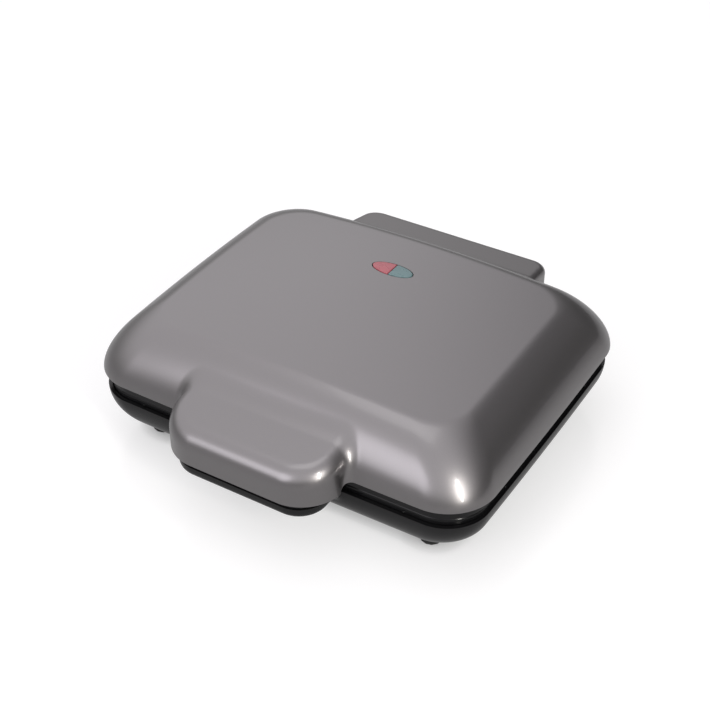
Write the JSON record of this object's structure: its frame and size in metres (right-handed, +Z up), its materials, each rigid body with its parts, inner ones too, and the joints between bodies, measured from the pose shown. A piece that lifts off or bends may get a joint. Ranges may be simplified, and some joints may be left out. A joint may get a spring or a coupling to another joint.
{
  "type": "waffle maker",
  "caption": "Rectangular clamshell waffle maker with a domed lid, paired oval indicator lenses, stacked front handles, a rear hinge and round waffle wells inside.",
  "frame": {"origin": "on the table, under the middle of the whole object's box", "axes": "+Z up, the handles point to -Y, the hinge is at +Y, +X to the right seen from the front"},
  "size_m": [0.285, 0.2874, 0.0922],
  "materials": {
    "silver_paint": "metallic paint, semi-gloss",
    "gloss_black": "glossy black moulding",
    "dark_base": "satin, fine grain",
    "satin_black": "satin",
    "nonstick": "dark non-stick coating on cast aluminium",
    "reflector_steel": "bright rolled sheet",
    "heater_sheath": "annealed sheath",
    "screw_steel": "zinc plated",
    "foot_rubber": "matte",
    "red_lens": "tinted clear plastic",
    "green_lens": "tinted clear plastic",
    "lamp_glass": "clear neon lamp",
    "holder_plastic": "natural heat-proof moulding",
    "sensor_case": "satin case",
    "lead_insulation": "glass-silk and silicone sleeve"
  },
  "bodies": {
    "base": {"base_shell": "dark_base", "base_bezel": "gloss_black", "lower_cooking_plate": "nonstick", "lower_reflector": "reflector_steel", "lower_heating_element": "heater_sheath", "lower_thermostat": "sensor_case", "thermal_fuse": "sensor_case", "terminal_block": "holder_plastic", "lead_left": "lead_insulation", "lead_right": "lead_insulation", "base_handle_cover": "satin_black", "base_handle_screw_left": "screw_steel", "base_handle_screw_right": "screw_steel", "base_screw_front": "screw_steel", "base_screw_rear": "screw_steel", "base_screw_left": "screw_steel", "base_screw_right": "screw_steel", "hinge_pin_left": "screw_steel", "hinge_pin_right": "screw_steel", "foot_front_left": "foot_rubber", "foot_front_right": "foot_rubber", "foot_rear_left": "foot_rubber", "foot_rear_right": "foot_rubber", "cord_bushing": "satin_black"},
    "lid": {"lid_shell": "silver_paint", "lid_bezel": "gloss_black", "upper_cooking_plate": "nonstick", "upper_reflector": "reflector_steel", "upper_heating_element": "heater_sheath", "upper_thermostat": "sensor_case", "lid_handle_cover": "satin_black", "lid_handle_screw_left": "screw_steel", "lid_handle_screw_right": "screw_steel", "lid_screw_front": "screw_steel", "lid_screw_rear": "screw_steel", "lid_screw_left": "screw_steel", "lid_screw_right": "screw_steel", "lamp_holder": "holder_plastic", "lens_red": "red_lens", "lens_green": "green_lens", "lamp_red": "lamp_glass", "lamp_green": "lamp_glass"}
  },
  "joints": [
    {"name": "lid_hinge", "type": "hinge", "parent": "base", "child": "lid", "pos_m": [0, 0.13175, 0.046], "axis": [-1, 0, 0], "range_deg": [0, 100]}
  ]
}
